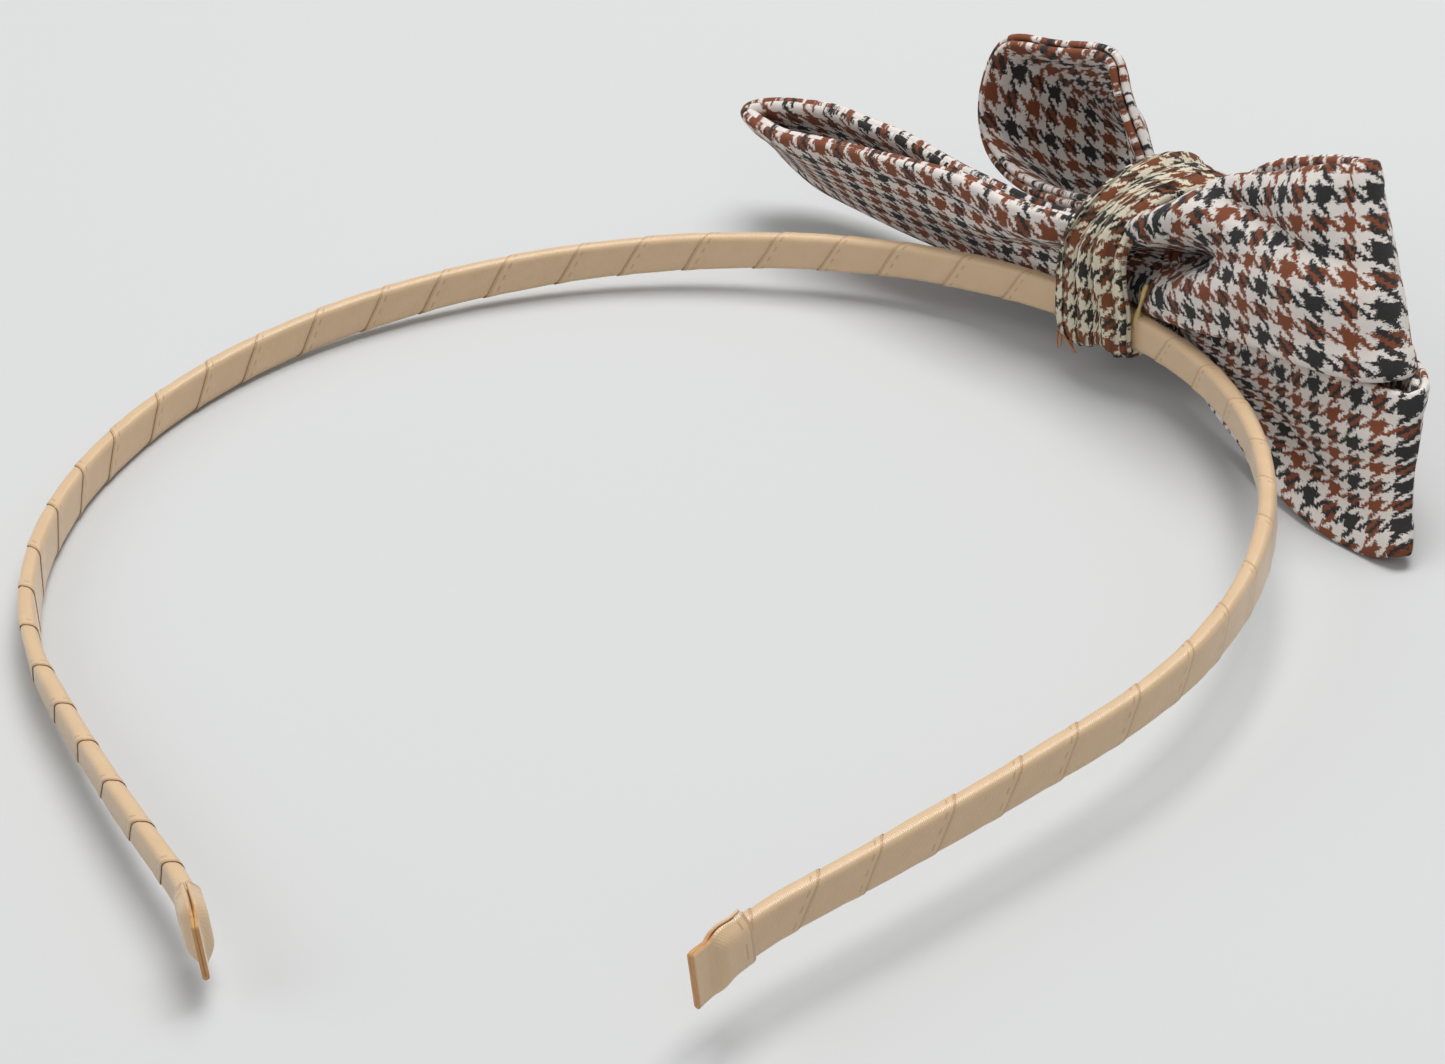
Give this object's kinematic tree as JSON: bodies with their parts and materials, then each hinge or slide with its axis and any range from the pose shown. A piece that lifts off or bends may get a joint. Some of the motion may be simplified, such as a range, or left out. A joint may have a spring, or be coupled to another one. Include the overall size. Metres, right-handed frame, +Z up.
{
  "type": "bow headband",
  "caption": "Slim ribbon-wound headband with a folded cloth double bow bound to one side of its crown; the legs flex outward to go over a head.",
  "frame": {"origin": "centre of the object's footprint box, on the table it lies on", "axes": "+Z up from the table; +Y from the tips to the crown; +X towards the side that carries the bow"},
  "size_m": [0.1595, 0.171, 0.039],
  "materials": {
    "spring_strip": "satin",
    "satin_ribbon": "satin",
    "houndstooth_cloth": "matte",
    "centre_cloth": "matte",
    "sewing_thread": "matte",
    "glue": "gloss"
  },
  "bodies": {
    "crown": {"core_crown": "spring_strip", "ribbon_crown": "satin_ribbon", "bow_strip_front": "houndstooth_cloth", "bow_strip_back": "houndstooth_cloth", "bow_centre_strip": "centre_cloth", "gathering_thread": "sewing_thread", "glue_pad": "glue"},
    "left_leg": {"core_left_leg": "spring_strip", "ribbon_left_leg": "satin_ribbon", "tip_cover_left": "satin_ribbon"},
    "right_leg": {"core_right_leg": "spring_strip", "ribbon_right_leg": "satin_ribbon", "tip_cover_right": "satin_ribbon"}
  },
  "joints": [
    {"name": "left_leg_flex", "type": "hinge", "parent": "crown", "child": "left_leg", "pos_m": [-0.07915, -0.01336, 0.00283], "axis": [0.0558, -0.0174, -0.9983], "range_deg": [-5, 15], "stiffness_Nm_per_rad": 0.35},
    {"name": "right_leg_flex", "type": "hinge", "parent": "crown", "child": "right_leg", "pos_m": [0.06025, -0.01322, 0.01062], "axis": [-0.0558, 0.0174, 0.9983], "range_deg": [-5, 15], "stiffness_Nm_per_rad": 0.35}
  ]
}
